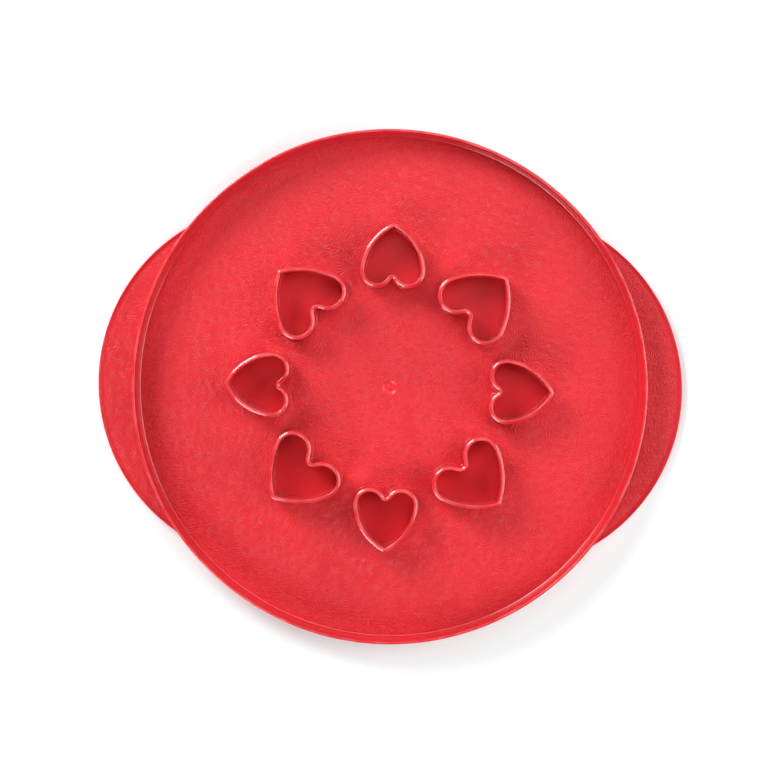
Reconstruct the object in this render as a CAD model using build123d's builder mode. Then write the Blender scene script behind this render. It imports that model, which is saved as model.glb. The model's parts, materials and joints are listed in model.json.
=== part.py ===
"""Pie-top cutter: a moulded plastic plate with a crust-trimming ring, two grips
and a wreath of eight heart-shaped cutters.

The tool lies on its flat back with every cutting edge up. In use it is turned
over and pressed into rolled-out dough, so the ring and all the hearts end in
one plane. The moulding is divided into its members, which meet face to face.

Frame: origin at the centre of the flat back, +X through the right grip,
+Z towards the cutting edges. Millimetres and degrees.
"""

import os
from math import atan2, cos, degrees, hypot, radians, sin, sqrt, tan

from build123d import *

os.makedirs("parts", exist_ok=True)

# ---------------------------------------------------------------- dimensions

plate_thickness = 2.6     # plate and grips, back to face
cutter_height = 13.0      # cutting edges above the face of the plate

# crust-trimming ring
ring_diameter = 261.0     # across the outside of its lip
ring_lip_width = 1.3      # at the cutting edge
ring_draft = 1.0          # lean of each side of the wall, degrees
ring_foot_flare = 0.6     # ramp between the wall and the plate
ring_edge_round = 0.4     # on both corners of the lip

# grips: crescents left and right, level with the plate
grip_reach = 19.5         # beyond the ring's lip
grip_arc_radius = 93.1    # outer edge of the crescent
bead_width = 1.5          # raised bead along that edge
bead_height = 0.7
bead_crest_width = 0.6    # flat on top of the bead, outside its inner slope
bead_edge_round = 0.3     # outer top corner of the bead

# walls of the heart cutters
heart_lip_width = 2.0
heart_inner_draft = 1.0
heart_outer_draft = 1.5
heart_foot_flare = 0.4
heart_outer_round = 0.9
heart_inner_round = 0.3
hearts_of_each_kind = 4

# The line in the middle of a heart's lip. It starts in the small round cleft,
# runs out along a short straight flank, goes round the lobe and comes back
# along a gently curved side to the point, which is the end farthest from the
# centre of the plate.
narrow_heart = dict(
    point_at=82.6,        # from the centre of the plate to the point
    cleft_at=56.4,        # from the centre of the plate to the cleft
    cleft_radius=1.9,
    flank_lean=57.0,      # between the flank's normal and the heart's own axis
    flank_length=0.4,
    lobe_radius=7.4,
    side_radius=27.4,
    point_radius=1.5,
)
wide_heart = dict(
    point_at=81.0,
    cleft_at=55.7,
    cleft_radius=3.0,
    flank_lean=56.5,
    flank_length=2.5,
    lobe_radius=8.4,
    side_radius=40.7,
    point_radius=1.5,
)

# gate mark in the middle of the plate, left by the moulding
gate_dimple_diameter = 7.0
gate_dimple_depth = 0.5
gate_nub_diameter = 1.9
gate_nub_height = 0.4     # above the bottom of the dimple

# ------------------------------------------------------------ derived places

top = plate_thickness + cutter_height
ring_lip_radius = ring_diameter / 2
ring_lean = cutter_height * tan(radians(ring_draft))
ring_outer_radius = ring_lip_radius + ring_lean
ring_inner_radius = ring_lip_radius - ring_lip_width - ring_lean
ring_collar_top = plate_thickness + bead_height    # upright stretch that the grips meet
grip_centre = ring_lip_radius + grip_reach - grip_arc_radius


# ---------------------------------------------------------------- base plate

def plate_disc():
    """Round plate inside the ring, with the shallow gate mark in its middle."""
    dimple_radius = gate_dimple_diameter / 2
    sphere_radius = (dimple_radius**2 + gate_dimple_depth**2) / (2 * gate_dimple_depth)
    with BuildPart() as disc:
        with BuildSketch(Plane.XY):
            Circle(ring_inner_radius)
        extrude(amount=plate_thickness)
        with Locations((0, 0, plate_thickness - gate_dimple_depth + sphere_radius)):
            Sphere(sphere_radius, mode=Mode.SUBTRACT)
        with BuildSketch(Plane.XY.offset(plate_thickness - 2 * gate_dimple_depth)):
            Circle(gate_nub_diameter / 2)
        extrude(amount=gate_dimple_depth + gate_nub_height)
    return disc.part


base_plate = plate_disc()
base_plate.label = "base_plate"
export_step(base_plate, "parts/base_plate.step")


# ------------------------------------------------------- crust-trimming ring

with BuildPart() as crust_ring:
    with BuildSketch(Plane.XZ):
        with BuildLine():
            Polyline(
                (ring_inner_radius, 0),
                (ring_outer_radius, 0),
                (ring_outer_radius, ring_collar_top),
                (ring_lip_radius, top),
                (ring_lip_radius - ring_lip_width, top),
                (ring_inner_radius, plate_thickness + ring_foot_flare),
                (ring_inner_radius - ring_foot_flare, plate_thickness),
                (ring_inner_radius, plate_thickness),
                close=True,
            )
        make_face()
    revolve(axis=Axis.Z)
    lip_edges = crust_ring.edges().group_by(Axis.Z)[-1]
    fillet(lip_edges, radius=min(ring_edge_round, 0.45 * ring_lip_width))

crust_ring.part.label = "crust_ring"
export_step(crust_ring.part, "parts/crust_ring.step")


# --------------------------------------------------------------------- grips

def grip(side):
    """Crescent tab outside the ring; side is 1 on the right and -1 on the left."""
    with BuildPart() as tab:
        with BuildSketch(Plane.XY):
            with Locations((side * grip_centre, 0)):
                Circle(grip_arc_radius)
            Circle(ring_outer_radius, mode=Mode.SUBTRACT)
        extrude(amount=plate_thickness)
    return tab.part


def grip_bead(side):
    """Raised edge of a grip: upright outside, sloping down to the tab inside."""
    crest = plate_thickness + bead_height
    outside = grip_centre + grip_arc_radius
    turning_axis = Axis((side * grip_centre, 0, 0), (0, 0, 1))
    with BuildPart() as bead:
        with BuildSketch(Plane.XZ):
            with BuildLine():
                Polyline(
                    (side * outside, plate_thickness),
                    (side * outside, crest),
                    (side * (outside - bead_crest_width), crest),
                    (side * (outside - bead_width), plate_thickness),
                    close=True,
                )
            make_face()
        revolve(axis=turning_axis)
        crest_edge = bead.edges().group_by(Axis.Z)[-1].sort_by(SortBy.RADIUS)[-1]
        fillet(crest_edge, radius=min(bead_edge_round, 0.45 * bead_height))
        with BuildSketch(Plane.XY.offset(plate_thickness)):
            Circle(ring_outer_radius)
        extrude(amount=bead_height, mode=Mode.SUBTRACT)
    return bead.part


for side, name in ((1, "right"), (-1, "left")):
    tab = grip(side)
    tab.label = f"{name}_handle"
    export_step(tab, f"parts/{tab.label}.step")
    bead = grip_bead(side)
    bead.label = f"{name}_handle_bead"
    export_step(bead, f"parts/{bead.label}.step")


# ------------------------------------------------------------- heart cutters

def arc_between(centre, radius, start, end):
    """Arc about centre from the point start to the point end, anticlockwise."""
    first = degrees(atan2(start[1] - centre[1], start[0] - centre[0]))
    last = degrees(atan2(end[1] - centre[1], end[0] - centre[0]))
    return CenterArc(centre, radius, first, (last - first) % 360)


def heart_half(
    point_at, cleft_at, cleft_radius, flank_lean, flank_length, lobe_radius, side_radius
):
    """Draw one half of a heart in the current line: cleft, flank, lobe and side."""
    out_x, out_y = cos(radians(flank_lean)), sin(radians(flank_lean))
    cleft_x = cleft_at - cleft_radius
    flank_start = (cleft_x + cleft_radius * out_x, cleft_radius * out_y)
    flank_end = (flank_start[0] - flank_length * out_y, flank_start[1] + flank_length * out_x)
    lobe_x, lobe_y = flank_end[0] + lobe_radius * out_x, flank_end[1] + lobe_radius * out_y

    # the side's centre is side_radius from the point, and the lobe lies inside the side
    gap = side_radius - lobe_radius
    reach_x, reach_y = point_at - lobe_x, -lobe_y
    reach = hypot(reach_x, reach_y)
    along = (gap**2 - side_radius**2 + reach**2) / (2 * reach)
    aside = sqrt(gap**2 - along**2)
    side_x = lobe_x + (along * reach_x + aside * reach_y) / reach
    side_y = lobe_y + (along * reach_y - aside * reach_x) / reach
    side_end = (
        side_x + (lobe_x - side_x) * side_radius / gap,
        side_y + (lobe_y - side_y) * side_radius / gap,
    )

    arc_between((cleft_x, 0), cleft_radius, (cleft_at, 0), flank_start)
    Line(flank_start, flank_end)
    arc_between((lobe_x, lobe_y), lobe_radius, side_end, flank_end)
    arc_between((side_x, side_y), side_radius, (point_at, 0), side_end)


def heart_face(shape, grow):
    """Heart bounded by its lip line moved outwards by grow, or inwards if negative."""
    outline = {key: size for key, size in shape.items() if key != "point_radius"}
    with BuildSketch() as heart:
        with BuildLine():
            heart_half(**outline)
            mirror(about=Plane.XZ)
        make_face()
        tip = heart.vertices().sort_by(Axis.X)[-1]
        fillet(tip, radius=shape["point_radius"])
        offset(amount=grow)
    return heart.sketch


def heart_cutter(shape, angle):
    """Heart-shaped cutting wall standing on the plate, its point outwards at angle."""
    half_lip = heart_lip_width / 2
    outer_lean = cutter_height * tan(radians(heart_outer_draft))
    inner_lean = cutter_height * tan(radians(heart_inner_draft))
    foot = Plane.XY.offset(plate_thickness)
    with BuildPart() as cutter:
        with BuildSketch(foot):
            add(heart_face(shape, half_lip + outer_lean))
        extrude(amount=cutter_height, taper=heart_outer_draft)
        with BuildSketch(foot):
            add(heart_face(shape, half_lip + outer_lean + heart_foot_flare))
        extrude(amount=heart_foot_flare, taper=45)
        with BuildSketch(foot):
            add(heart_face(shape, -half_lip - inner_lean))
        extrude(amount=cutter_height, taper=-heart_inner_draft, mode=Mode.SUBTRACT)
        land = cutter.faces().sort_by(Axis.Z)[-1]
        fillet(land.outer_wire().edges(), radius=heart_outer_round)
        land = cutter.faces().sort_by(Axis.Z)[-1]
        fillet(land.inner_wires()[0].edges(), radius=heart_inner_round)
    return cutter.part.rotate(Axis.Z, angle)


step = 360 / hearts_of_each_kind
for name, shape, first_angle in (("narrow", narrow_heart, 0), ("wide", wide_heart, step / 2)):
    for number in range(hearts_of_each_kind):
        cutter = heart_cutter(shape, first_angle + number * step)
        cutter.label = f"{name}_heart_cutter_{number + 1}"
        export_step(cutter, f"parts/{cutter.label}.step")
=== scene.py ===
import json
import math

import bmesh
import bpy
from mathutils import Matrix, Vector
from mathutils.geometry import delaunay_2d_cdt

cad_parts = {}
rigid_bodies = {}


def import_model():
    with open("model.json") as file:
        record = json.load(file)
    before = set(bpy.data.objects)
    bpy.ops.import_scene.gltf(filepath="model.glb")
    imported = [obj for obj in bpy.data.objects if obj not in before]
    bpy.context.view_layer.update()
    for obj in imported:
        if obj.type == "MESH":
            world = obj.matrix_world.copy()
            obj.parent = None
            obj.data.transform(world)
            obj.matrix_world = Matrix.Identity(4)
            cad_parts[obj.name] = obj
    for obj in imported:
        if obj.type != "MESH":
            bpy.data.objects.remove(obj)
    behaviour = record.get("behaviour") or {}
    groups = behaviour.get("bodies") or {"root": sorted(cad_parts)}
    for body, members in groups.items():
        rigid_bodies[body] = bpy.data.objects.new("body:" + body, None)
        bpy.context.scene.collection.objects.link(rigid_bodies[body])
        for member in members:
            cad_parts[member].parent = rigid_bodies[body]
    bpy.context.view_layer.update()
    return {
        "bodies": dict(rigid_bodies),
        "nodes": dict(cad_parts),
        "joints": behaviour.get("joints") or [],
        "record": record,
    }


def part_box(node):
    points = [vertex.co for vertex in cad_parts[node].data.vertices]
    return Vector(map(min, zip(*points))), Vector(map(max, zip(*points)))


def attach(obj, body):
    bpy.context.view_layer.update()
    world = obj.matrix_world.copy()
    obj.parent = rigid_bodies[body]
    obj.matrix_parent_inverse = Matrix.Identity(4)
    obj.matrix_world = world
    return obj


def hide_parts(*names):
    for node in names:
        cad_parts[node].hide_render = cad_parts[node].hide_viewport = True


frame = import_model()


# ---------------------------------------------------------------- base plate
# The round plate that carries every cutter, moulded in red plastic. Its face has a fine
# starburst grain, which stops at the heart walls: the floors inside them are smooth. The
# gate left a shallow round dimple with a nub in the middle.

class Socket:
    """One output of a shader node, which takes part in plain Python sums."""

    def __init__(self, tree, link):
        self.tree = tree
        self.link = link

    def node(self, kind, settings=None, **sockets):
        """Add a node: its settings first, then values or links for its sockets by name or place."""
        made = self.tree.nodes.new(kind)
        for name, value in (settings or {}).items():
            setattr(made, name, value)
        for name, value in sockets.items():
            place = int(name[1:]) if name[0] == "_" else name.replace("_", " ")
            if isinstance(value, Socket):
                self.tree.links.new(value.link, made.inputs[place])
            else:
                made.inputs[place].default_value = value
        return made

    def out(self, made, name=0):
        return Socket(self.tree, made.outputs[name])

    def maths(self, operation, *values):
        places = {f"_{i}": value for i, value in enumerate(values)}
        return self.out(self.node("ShaderNodeMath", {"operation": operation}, **places))

    def vectors(self, operation, *values):
        places = {f"_{i}": value for i, value in enumerate(values)}
        made = self.node("ShaderNodeVectorMath", {"operation": operation}, **places)
        return self.out(made, "Value" if operation == "LENGTH" else "Vector")

    def __add__(self, other):
        return self.maths("ADD", self, other)

    def __radd__(self, other):
        return self.maths("ADD", other, self)

    def __sub__(self, other):
        return self.maths("SUBTRACT", self, other)

    def __rsub__(self, other):
        return self.maths("SUBTRACT", other, self)

    def __mul__(self, other):
        return self.maths("MULTIPLY", self, other)

    def __rmul__(self, other):
        return self.maths("MULTIPLY", other, self)

    def __truediv__(self, other):
        return self.maths("DIVIDE", self, other)

    def clamp(self):
        return self.maths("MINIMUM", self.maths("MAXIMUM", self, 0.0), 1.0)


def smooth_step(value, low, high):
    """0 below low, 1 above high, and smooth between."""
    made = value.node(
        "ShaderNodeMapRange", {"interpolation_type": "SMOOTHSTEP"}, _0=value, _1=low, _2=high
    )
    return value.out(made)


def mixed(share, first, second, blend="MIX"):
    """The first colour where share is 0 and the second where it is 1, or, with MULTIPLY as the
    blend, the first colour times the second there."""
    first, second = [c if isinstance(c, Socket) else (*c, 1.0) for c in (first, second)]
    made = share.node(
        "ShaderNodeMix", {"data_type": "RGBA", "blend_type": blend}, _0=share, _6=first, _7=second
    )
    return share.out(made, 2)


def noise(place, scale, detail, offset=(0.0, 0.0, 0.0)):
    """Even noise from 0 to 1 over the object's own space; scale is in lumps per metre."""
    moved = place.vectors("ADD", place, offset)
    return place.out(
        place.node("ShaderNodeTexNoise", None, Vector=moved, Scale=scale, Detail=detail)
    )


def burst_strokes(place, spacing, strokes, shift):
    """Short ridges that ray out from scattered centres, like frost flowers, as heights 0 to 1:
    spacing is between the centres in metres, and strokes is how many go round each of them."""
    spot = place.vectors("ADD", place, shift)
    cells = place.node(
        "ShaderNodeTexVoronoi",
        {"voronoi_dimensions": "2D", "feature": "F1"},
        Vector=spot,
        Scale=1.0 / spacing,
        Randomness=0.9,
    )
    away = place.vectors("SUBTRACT", spot, place.out(cells, "Position"))
    parts = place.node("ShaderNodeSeparateXYZ", None, _0=away)
    x, y = place.out(parts, 0), place.out(parts, 1)
    colour = place.node("ShaderNodeSeparateColor", None, _0=place.out(cells, "Color"))
    own, other = place.out(colour, 0), place.out(colour, 1)
    radius = x.maths("SQRT", x * x + y * y)
    bearing = y.maths("ARCTAN2", y, x) / (2 * math.pi) + 0.5 + own
    turns = bearing * strokes
    number = turns.maths("FLOOR", turns)
    across = turns.maths("FRACT", turns)
    pair = place.node("ShaderNodeCombineXYZ", None, _0=number, _1=other, _2=0.0)
    chance = place.node(
        "ShaderNodeTexWhiteNoise", {"noise_dimensions": "2D"}, Vector=place.out(pair)
    )
    length = place.out(chance, "Value")
    ridge = 1.0 - x.maths("ABSOLUTE", across * 2.0 - 1.0)
    # Every stroke has its own start and stop, and takes a little of the spacing to rise and fall.
    start = spacing * (0.08 + 0.12 * length)
    stop = spacing * (0.50 + 0.40 * length)
    rise = (radius - start) / (spacing * 0.06)
    fall = (stop - radius) / (spacing * 0.10)
    return ridge.maths("SMOOTH_MIN", ridge, 1.0, 0.3) * rise.clamp() * fall.clamp()


def starburst_grain(place, grain):
    """The grain as heights in metres, how much painted shade darkens its grooves from 0 to 1, and
    where it lies: cover is 1 on the plate and 0 round the gate in its middle."""
    flat = place.vectors("MULTIPLY", place, (1.0, 1.0, 0.0))
    cover = smooth_step(place.vectors("LENGTH", flat), 0.0033, 0.0044)
    fine = burst_strokes(place, 0.0078, 17.0, (1.0, 2.0, 0.0))
    coarse = burst_strokes(place, 0.0100, 22.0, (5.3, 3.1, 0.0))
    patch = smooth_step(noise(place, 55.0, 1.0, (0.7, 0.7, 0.0)), 0.35, 0.65)
    strokes = fine * patch + coarse * (1.0 - patch)
    wrinkle = noise(place, 850.0, 1.0, (0.1, 0.6, 0.0)) - 0.5
    height = (strokes * grain + wrinkle * (grain * 2.0)) * cover
    # Painted shade: how much the colour is darkened where the strokes and wrinkles are low.
    groove_shade = (1.1 - strokes * 0.9 - wrinkle * 1.4).clamp() * cover
    return height, groove_shade, cover


def red_plastic(name, colour, roughness, coat, coat_roughness, grain=0.0):
    """Red moulded plastic; grain is the height of the starburst grain in metres, or 0 for none."""
    material = bpy.data.materials.new(name)
    material.use_nodes = True
    material.node_tree.nodes.clear()
    start = Socket(material.node_tree, None)
    place = start.out(start.node("ShaderNodeTexCoord"), "Object")
    height_up = start.out(start.node("ShaderNodeSeparateXYZ", None, _0=place), "Z")

    # The colour is a little cloudy, and the gloss a little uneven.
    deep = tuple(c * 0.88 for c in colour)
    tint = mixed(smooth_step(noise(place, 14.0, 3.0), 0.3, 0.7), deep, colour)
    speck = noise(place, 900.0, 2.0, (0.3, 0.1, 0.7)) - 0.5
    wipe = noise(place, 45.0, 4.0, (0.9, 0.4, 0.2)) - 0.5
    rough = roughness + wipe * 0.12 + speck * 0.05

    # The top millimetre of the lips is painted paler in patches, a painted sheen, and is also made
    # duller there.
    sheen_patches = smooth_step(noise(place, 120.0, 3.0, (0.6, 0.2, 0.9)), 0.35, 0.75)
    lip_sheen_mask = smooth_step(height_up, lip_top - 0.0012, lip_top - 0.0001) * sheen_patches
    sheen_colour = tuple(c + (1.0 - c) * 0.07 for c in colour)
    # Painted sheen: the lip tops are mixed towards a paler colour.
    tint = mixed(lip_sheen_mask, tint, sheen_colour)
    rough = rough + lip_sheen_mask * 0.10

    if grain:
        height, groove_shade, cover = starburst_grain(place, grain)
        # Painted shade darkens the grain's grooves in the colour.
        tint = mixed(groove_shade, tint, (0.84, 0.68, 0.70), "MULTIPLY")
        rough = rough - (1.0 - cover) * 0.16
    else:
        ripple = noise(place, 260.0, 2.0, (0.2, 0.8, 0.5)) - 0.5
        height = ripple * 0.000012 + speck * 0.000004
    bump = start.node("ShaderNodeBump", None, Strength=1.0, Distance=1.0, Height=height)
    shader = start.node(
        "ShaderNodeBsdfPrincipled",
        None,
        Base_Color=tint,
        Roughness=rough.clamp(),
        Normal=start.out(bump),
        IOR=1.49,
        Coat_Weight=coat,
        Coat_Roughness=coat_roughness,
        Subsurface_Weight=0.4,
        Subsurface_Radius=(1.0, 0.12, 0.12),
        Subsurface_Scale=0.0013,
    )
    start.node("ShaderNodeOutputMaterial", None, _0=start.out(shader))
    return material


plate_low, plate_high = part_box("base_plate")
plate_face = plate_high.z
plate_radius = (plate_high.x - plate_low.x) / 2
ring_low, ring_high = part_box("crust_ring")
lip_top = ring_high.z

grained_red = red_plastic(
    "grained_red_plastic", (0.89, 0.025, 0.040), roughness=0.50, coat=0.0, coat_roughness=0.3,
    grain=0.00016,
)
smooth_red = red_plastic(
    "smooth_red_plastic", (0.80, 0.020, 0.034), roughness=0.36, coat=0.8, coat_roughness=0.10
)


def circle(radius, count):
    """Points evenly round a circle about the middle of the plate, anticlockwise."""
    turns = [2 * math.pi * i / count for i in range(count)]
    return [(radius * math.cos(a), radius * math.sin(a)) for a in turns]


def join_rows(mesh_data, rows):
    """Faces between each closed row of vertices and the next one."""
    for row, following in zip(rows, rows[1:]):
        for i in range(len(row)):
            j = (i + 1) % len(row)
            mesh_data.faces.new((row[i], row[j], following[j], following[i]))


def add_piece(name, mesh_data, materials, node):
    """Turn a bmesh into a shaded piece that rides on the one rigid body."""
    mesh = bpy.data.meshes.new(name)
    bmesh.ops.recalc_face_normals(mesh_data, faces=mesh_data.faces)
    mesh_data.to_mesh(mesh)
    mesh_data.free()
    mesh.shade_smooth()
    mesh.set_sharp_from_angle(angle=math.radians(40.0))
    for material in materials:
        mesh.materials.append(material)
    piece = bpy.data.objects.new(name, mesh)
    bpy.context.scene.collection.objects.link(piece)
    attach(piece, "root")
    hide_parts(node)


# The line in the middle of a heart's lip, in metres and degrees: from the small round cleft
# along a straight flank, round the lobe, and back along a gently curved side to the point.
narrow_heart = dict(
    point_at=0.0826,
    cleft_at=0.0564,
    cleft_radius=0.0019,
    flank_lean=57.0,
    flank_length=0.0004,
    lobe_radius=0.0074,
    side_radius=0.0274,
    point_radius=0.0015,
)
wide_heart = dict(
    point_at=0.0810,
    cleft_at=0.0557,
    cleft_radius=0.0030,
    flank_lean=56.5,
    flank_length=0.0025,
    lobe_radius=0.0084,
    side_radius=0.0407,
    point_radius=0.0015,
)
hearts_of_each_kind = 4
heart_turn = 2 * math.pi / hearts_of_each_kind
heart_kinds = [("narrow", narrow_heart, 0.0), ("wide", wide_heart, heart_turn / 2)]
widest_turn = 0.07        # in radians, between two points of a heart's line
longest_step = 0.0006     # in metres, between two points of a heart's line
flank_steps = 4


def arc_run(centre, radius, first, last, facing=1.0):
    """Points along an arc with the way out of the heart at each, without the last one."""
    turn = last - first
    length = abs(turn) * radius
    steps = max(math.ceil(abs(turn) / widest_turn), math.ceil(length / longest_step), 2)
    run = []
    for i in range(steps):
        angle = first + turn * i / steps
        out = Vector((math.cos(angle), math.sin(angle)))
        run.append((centre + out * radius, out * facing))
    return run


def heart_line(
    point_at, cleft_at, cleft_radius, flank_lean, flank_length, lobe_radius, side_radius,
    point_radius,
):
    """The lip line of a heart that points along +X, as (place, way out) pairs round it."""
    lean = math.radians(flank_lean)
    out = Vector((math.cos(lean), math.sin(lean)))
    along = Vector((-out.y, out.x))
    cleft = Vector((cleft_at - cleft_radius, 0.0))
    lobe = cleft + out * (cleft_radius + lobe_radius) + along * flank_length
    gap = side_radius - lobe_radius
    reach = Vector((point_at, 0.0)) - lobe
    share = (gap**2 - side_radius**2 + reach.length_squared) / (2 * reach.length)
    aside = math.sqrt(gap**2 - share**2)
    unit = reach.normalized()
    side = lobe + unit * share + Vector((unit.y, -unit.x)) * aside
    tip_gap = side_radius - point_radius
    tip = Vector((side.x + math.sqrt(tip_gap**2 - side.y**2), 0.0))
    lobe_angle = math.atan2(lobe.y - side.y, lobe.x - side.x)
    tip_angle = math.atan2(-side.y, tip.x - side.x)

    flank_start = cleft + out * cleft_radius
    half = arc_run(cleft, cleft_radius, 0.0, lean, facing=-1.0)
    half += [
        (flank_start + along * (flank_length * i / flank_steps), -out) for i in range(flank_steps)
    ]
    half += arc_run(lobe, lobe_radius, lean + math.pi, lobe_angle)
    half += arc_run(side, side_radius, lobe_angle, tip_angle)
    half += arc_run(tip, point_radius, tip_angle, 0.0)
    end = [(tip + Vector((point_radius, 0.0)), Vector((1.0, 0.0)))]
    flip = [
        (Vector((place.x, -place.y)), Vector((way.x, -way.y))) for place, way in half[:0:-1]
    ]
    return half + end + flip


def turned(flat, angle):
    """A flat point turned about the middle of the plate."""
    return Vector((
        flat.x * math.cos(angle) - flat.y * math.sin(angle),
        flat.x * math.sin(angle) + flat.y * math.cos(angle),
    ))


plate_steps = 360
floor_inset = 0.00148     # from the lip line in to where the floor starts
gate_radius = 0.0042      # of the moulded patch round the gate mark
gate_steps = 72

# The face of the plate is one flat net, cut along the patch round the gate and the floors.
loops = [circle(plate_radius, plate_steps), circle(gate_radius, gate_steps)]
for _, shape, first_turn in heart_kinds:
    for number in range(hearts_of_each_kind):
        angle = first_turn + number * heart_turn
        line = heart_line(**shape)[::-1]
        loops.append([tuple(turned(p - n * floor_inset, angle)) for p, n in line])

flat_points, loop_edges, loop_faces = [], [], []
for loop in loops:
    numbers = list(range(len(flat_points), len(flat_points) + len(loop)))
    flat_points += [Vector(point) for point in loop]
    loop_edges += list(zip(numbers, numbers[1:] + numbers[:1]))
    loop_faces.append(numbers)
spots, _, triangles, _, _, inside = delaunay_2d_cdt(
    flat_points, loop_edges, loop_faces, 0, 1e-7
)

# A face's owners are the loops it lies in: 0 the plate, 1 the gate's patch, the rest floors,
# which are smooth. The patch is left open for the gate mark.
plate = bmesh.new()
spot_verts = [plate.verts.new((p.x, p.y, plate_face)) for p in spots]
for corners, owners in zip(triangles, inside):
    if 1 in owners or 0 not in owners:
        continue
    face = plate.faces.new([spot_verts[i] for i in corners])
    face.material_index = 1 if any(owner > 1 for owner in owners) else 0

# The gate mark, from the edge of the patch to the middle of the nub: (radius, drop) in metres.
gate_profile = [
    (gate_radius, 0.0), (0.0039, 0.00002), (0.0036, 0.00012), (0.0032, 0.00040),
    (0.0027, 0.00072), (0.0022, 0.00085), (0.0017, 0.00088), (0.0014, 0.00086),
    (0.00122, 0.00076), (0.00110, 0.00056), (0.00100, 0.00034), (0.00090, 0.00018),
    (0.00075, 0.00008), (0.0005, 0.00003), (0.0002, 0.00002),
]
gate_rows = [
    [plate.verts.new((x, y, plate_face - drop)) for x, y in circle(radius, gate_steps)]
    for radius, drop in gate_profile
]
join_rows(plate, gate_rows)
plate.faces.new(gate_rows[-1])

rim_rows = [
    [plate.verts.new((x, y, z)) for x, y in circle(plate_radius, plate_steps)]
    for z in (plate_face, plate_low.z)
]
join_rows(plate, rim_rows)
bottom = plate.faces.new(rim_rows[-1])
bottom.material_index = 1
bmesh.ops.remove_doubles(plate, verts=plate.verts, dist=1e-6)
add_piece(
    "base_plate_moulding", plate, [grained_red, smooth_red], "base_plate"
)


# ------------------------------------------------------- crust-trimming ring
# The raised ring round the plate, moulded with it. Its rounded lip trims the pie crust to
# a circle; a fillet joins the wall to the plate.

ring_outer = (ring_high.x - ring_low.x) / 2
ring_draft = math.radians(1.0)
ring_lip = ring_outer - (lip_top - plate_face) * math.tan(ring_draft)
ring_lip_width = 0.0013
ring_bevel = 0.0005           # across the slope on the outside of the lip
bevel_fall = math.tan(math.radians(29.0))
ring_fillet = 0.0011          # at the foot of the wall, inside
ring_skirt = 1.1 * ring_fillet    # how far in the foot runs
seat = plate_face + 0.00002   # where a wall's fillet runs out, a hair above the plate
sunk = plate_face - 0.0022    # how low the foot of a wall is set into the plate
bead_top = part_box("right_handle_bead")[1].z
arc_steps = 8
arc_lead = 0.00004            # between the close points at the end of an arc


def arc_section(corners):
    """Closed section from (across, height, radius) corners: an arc at each corner with a
    radius, and close pairs of points where it meets the flats, which keep them flat."""
    points = []
    for i, (x, z, radius) in enumerate(corners):
        corner = Vector((x, z))
        if radius == 0:
            points.append(corner)
            continue
        before = Vector(corners[i - 1][:2]) - corner
        after = Vector(corners[(i + 1) % len(corners)][:2]) - corner
        half_turn = before.angle(after) / 2
        before.normalize()
        after.normalize()
        back = radius / math.tan(half_turn)
        first, last = corner + before * back, corner + after * back
        centre = corner + (before + after).normalized() * (radius / math.sin(half_turn))
        points.append(first + before * arc_lead)
        for step in range(arc_steps + 1):
            chord = first.lerp(last, step / arc_steps) - centre
            points.append(centre + chord.normalized() * radius)
        points.append(last + after * arc_lead)
    return points


def sweep_section(section, frames):
    """Closed tube of the section along closed frames, each a function from section to space."""
    tube = bmesh.new()
    rows = [[tube.verts.new(frame(x, z)) for x, z in section] for frame in frames]
    join_rows(tube, rows + rows[:1])
    return tube


def ring_frame(angle):
    return lambda radius, z: (radius * math.cos(angle), radius * math.sin(angle), z)


ring_section = arc_section([
    (ring_outer, 0.0, 0),
    (ring_outer, bead_top, 0.0006),
    (ring_lip, lip_top - ring_bevel * bevel_fall, 0.0002),
    (ring_lip - ring_bevel, lip_top, 0.0004),
    (ring_lip - ring_lip_width, lip_top, 0.0004),
    (plate_radius, seat, ring_fillet),
    (plate_radius - ring_skirt, seat, 0),
    (plate_radius - ring_skirt, sunk, 0),
    (plate_radius, sunk, 0),
    (plate_radius, 0.0, 0),
])
ring_steps = 480
ring_frames = [ring_frame(2 * math.pi * i / ring_steps) for i in range(ring_steps)]
ring = sweep_section(ring_section, ring_frames)
add_piece("crust_ring_wall", ring, [smooth_red], "crust_ring")


# --------------------------------------------------------------------- grips
# Two crescent tabs, left and right of the ring and level with the plate, moulded with it.
# The hands press on them from the other side. A raised bead stiffens each outer edge, and
# the maker's lettering that such a grip carries is left off.

grip_arc = 0.0931
grip_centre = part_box("right_handle")[1].x - grip_arc
grip_steps = 160
bead_width = 0.0015
bead_crest = 0.0006
bead_skirt = 0.0008       # how far in its foot runs
bead_overlap = 0.0002     # how far from the grip's edge its foot goes down


def grip_end(radius):
    """Half the angle that an arc about the grip's centre turns through before it meets the ring."""
    reach = ring_outer**2 - grip_centre**2 - radius**2
    return math.acos(reach / (2 * grip_centre * radius))


def grip_section_run(side, section):
    """Solid with the section along a grip: each of its lines ends where it meets the ring.
    A section point is (radius about the grip's centre, height), with None for the ring."""
    corner = grip_end(grip_arc)
    ring_half = math.atan2(
        grip_arc * math.sin(corner), grip_centre + grip_arc * math.cos(corner)
    )
    solid = bmesh.new()
    rows = []
    for step in range(grip_steps + 1):
        share = 2 * step / grip_steps - 1
        row = []
        for radius, z in section:
            if radius is None:
                angle = ring_half * share
                x, y = ring_outer * math.cos(angle), ring_outer * math.sin(angle)
            else:
                angle = grip_end(radius) * share
                x = grip_centre + radius * math.cos(angle)
                y = radius * math.sin(angle)
            row.append(solid.verts.new((side * x, y, z)))
        rows.append(row)
    join_rows(solid, rows)
    solid.faces.new(rows[0])
    solid.faces.new(rows[-1])
    bmesh.ops.remove_doubles(solid, verts=solid.verts, dist=1e-7)
    return solid


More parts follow.
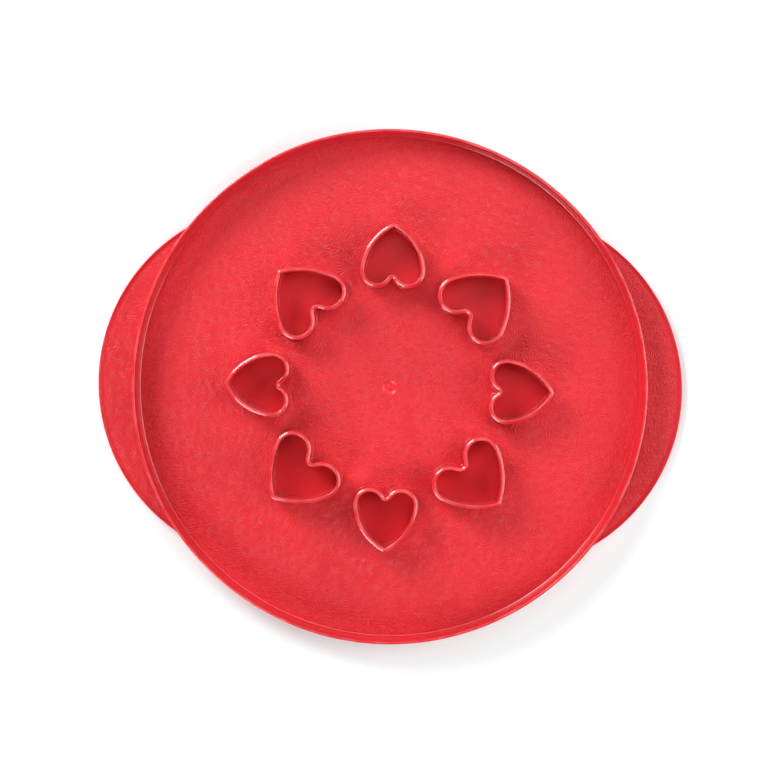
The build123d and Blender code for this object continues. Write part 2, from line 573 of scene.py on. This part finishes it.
# The tab's outer edge. Its two inner corners only give the faces their direction, and are cut.
inner = grip_arc - 0.004
tab_edge = arc_section([
    (inner, plate_face, 0),
    (grip_arc, plate_face, 0),
    (grip_arc, 0.0, 0.0006),
    (inner, 0.0, 0),
])[1:-1]
tab_section = [(None, 0.0), (None, plate_face)] + tab_edge
bead_section = arc_section([
    (grip_arc, plate_face, 0),
    (grip_arc, bead_top, 0.0004),
    (grip_arc - bead_crest, bead_top, 0.0005),
    (grip_arc - bead_width, seat, 0.0006),
    (grip_arc - bead_width - bead_skirt, seat, 0),
    (grip_arc - bead_width - bead_skirt, sunk, 0),
    (grip_arc - bead_overlap, sunk, 0),
    (grip_arc - bead_overlap, plate_face, 0),
])
tab_finishes = [grained_red, smooth_red]
for side, name in ((1, "right"), (-1, "left")):
    tab = grip_section_run(side, tab_section)
    for face in tab.faces:
        on_underside = all(vert.co.z < 1e-6 for vert in face.verts)
        face.material_index = 1 if on_underside else 0
    add_piece(f"{name}_grip_tab", tab, tab_finishes, f"{name}_handle")
    bead = grip_section_run(side, bead_section)
    add_piece(
        f"{name}_grip_bead", bead, [smooth_red], f"{name}_handle_bead"
    )


# ------------------------------------------------------------- heart cutters
# Eight heart-shaped walls, moulded with the plate, four narrow and four wide. Each has a
# rounded cutting lip, walls that lean for release from the mould, and a fillet at its foot.

heart_lip_width = 0.0020
half_lip = heart_lip_width / 2
lip_bevel = 0.0011        # across the slope on the outside of the lip
heart_height = lip_top - plate_face
outer_foot = half_lip + heart_height * math.tan(math.radians(1.5))
inner_foot = half_lip + heart_height * math.tan(math.radians(1.0))
outer_fillet = 0.00025
inner_fillet = 0.00018
outer_skirt = outer_foot + outer_fillet * 1.1
inner_skirt = inner_foot + inner_fillet * 1.05

heart_section = arc_section([
    (outer_skirt, sunk, 0),
    (outer_skirt, seat, 0),
    (outer_foot, seat, outer_fillet),
    (half_lip, lip_top - lip_bevel * bevel_fall, 0.0003),
    (half_lip - lip_bevel, lip_top, 0.0010),
    (-half_lip, lip_top, 0.0005),
    (-inner_foot, seat, inner_fillet),
    (-inner_skirt, seat, 0),
    (-inner_skirt, sunk, 0),
])


def heart_frame(place, way, angle):
    def to_space(out, z):
        spot = turned(place + way * out, angle)
        return (spot.x, spot.y, z)
    return to_space


for kind, shape, first_turn in heart_kinds:
    for number in range(hearts_of_each_kind):
        angle = first_turn + number * heart_turn
        frames = [heart_frame(place, way, angle) for place, way in heart_line(**shape)]
        wall = sweep_section(heart_section, frames)
        piece_name = f"{kind}_heart_{number + 1}_wall"
        node = f"{kind}_heart_cutter_{number + 1}"
        add_piece(piece_name, wall, [smooth_red], node)


# ------------------------------------------------------------- table and light
# The tool lies on a white table under four large soft lamps: two low ones at the left, a
# wide one at the right and one high up. The camera looks down, a little off straight. From
# below, the table is clear, and a fifth lamp there shows the tool's back.

table_mesh = bpy.data.meshes.new("table")
flat_grid = bmesh.new()
bmesh.ops.create_grid(flat_grid, x_segments=1, y_segments=1, size=4.0)
flat_grid.to_mesh(table_mesh)
flat_grid.free()
table = bpy.data.objects.new("table", table_mesh)
table.location.z = -0.0001    # a hair under the tool's flat back
bpy.context.scene.collection.objects.link(table)

white = bpy.data.materials.new("white_table")
white.use_nodes = True
white.node_tree.nodes.clear()
paper = Socket(white.node_tree, None)
rays = paper.node("ShaderNodeLightPath")
ground = paper.out(paper.node("ShaderNodeTexCoord"), "Object")
from_middle = paper.vectors("LENGTH", ground)
# A glow that only the camera sees lifts the table to white, and more so away from the tool.
glow = mixed(smooth_step(from_middle, 0.17, 0.50), (0.13, 0.17, 0.17), (1.0, 1.0, 1.0))
shown_glow = mixed(paper.out(rays, "Is Camera Ray"), (0.0, 0.0, 0.0), glow)
lift = paper.node("ShaderNodeEmission", None, Color=shown_glow, Strength=1.0)
matt = paper.node("ShaderNodeBsdfDiffuse", None, Color=(0.86, 0.86, 0.86, 1.0))
both = paper.node("ShaderNodeAddShader", None, _0=paper.out(lift), _1=paper.out(matt))
from_below = paper.out(paper.node("ShaderNodeNewGeometry"), "Backfacing")
see_through = paper.maths("MAXIMUM", from_below, paper.out(rays, "Is Shadow Ray"))
nothing = paper.node("ShaderNodeBsdfTransparent")
sided = paper.node(
    "ShaderNodeMixShader", None, _0=see_through, _1=paper.out(both), _2=paper.out(nothing)
)
paper.node("ShaderNodeOutputMaterial", None, _0=paper.out(sided))
table_mesh.materials.append(white)

lamp_distance = 1.6


def soft_lamp(name, bearing, rise, size, watts):
    """A round lamp aimed at the plate; bearing and rise are in degrees."""
    light = bpy.data.lights.new(name, "AREA")
    light.shape = "DISK"
    light.size = size
    light.energy = watts
    lamp = bpy.data.objects.new(name, light)
    level = math.cos(math.radians(rise))
    towards = Vector((
        level * math.cos(math.radians(bearing)),
        level * math.sin(math.radians(bearing)),
        math.sin(math.radians(rise)),
    ))
    lamp.location = towards * lamp_distance
    lamp.rotation_euler = (-towards).to_track_quat("-Z", "Y").to_euler()
    bpy.context.scene.collection.objects.link(lamp)


soft_lamp("upper_left_lamp", bearing=134.0, rise=31.0, size=0.75, watts=20.0)
soft_lamp("lower_left_lamp", bearing=236.0, rise=32.0, size=0.90, watts=13.0)
soft_lamp("right_lamp", bearing=0.0, rise=35.0, size=1.4, watts=16.5)
soft_lamp("top_lamp", bearing=75.0, rise=60.0, size=1.1, watts=6.5)
soft_lamp("under_lamp", bearing=90.0, rise=-89.0, size=0.8, watts=13.0)

# The room lights the tool faintly, and looks white to the camera.
world = bpy.data.worlds.new("room")
world.use_nodes = True
world.node_tree.nodes.clear()
air = Socket(world.node_tree, None)
faint = air.node("ShaderNodeBackground", None, Color=(1.0, 1.0, 1.0, 1.0), Strength=0.04)
bright = air.node("ShaderNodeBackground", None, Color=(1.0, 1.0, 1.0, 1.0), Strength=1.0)
seen = air.out(air.node("ShaderNodeLightPath"), "Is Camera Ray")
room = air.node("ShaderNodeMixShader", None, _0=seen, _1=air.out(faint), _2=air.out(bright))
air.node("ShaderNodeOutputWorld", None, _0=air.out(room))
bpy.context.scene.world = world

camera_distance = 0.79    # from the face of the plate
view_width = 0.401        # of what the camera sees of the plate's plane
roll = math.radians(1.72)
lean_up = math.radians(2.1)       # of the view from straight down, towards +Y
lean_right = math.radians(0.9)    # and towards +X
aim_offset = Vector((0.00025, -0.00135))
lens = bpy.data.cameras.new("camera")
lens.sensor_width = 36.0
lens.lens = lens.sensor_width * camera_distance / view_width
lens.clip_start = 0.01
camera = bpy.data.objects.new("camera", lens)
aim = turned(aim_offset, roll)
away = turned(Vector((math.cos(lean_up) * math.sin(lean_right), math.sin(lean_up))), roll)
camera.location = (
    aim.x + away.x * camera_distance,
    aim.y + away.y * camera_distance,
    plate_face + camera_distance * math.cos(lean_up) * math.cos(lean_right),
)
camera.rotation_euler = (-lean_up, lean_right, roll)
bpy.context.scene.collection.objects.link(camera)
bpy.context.scene.camera = camera
bpy.context.scene.view_settings.view_transform = "Standard"
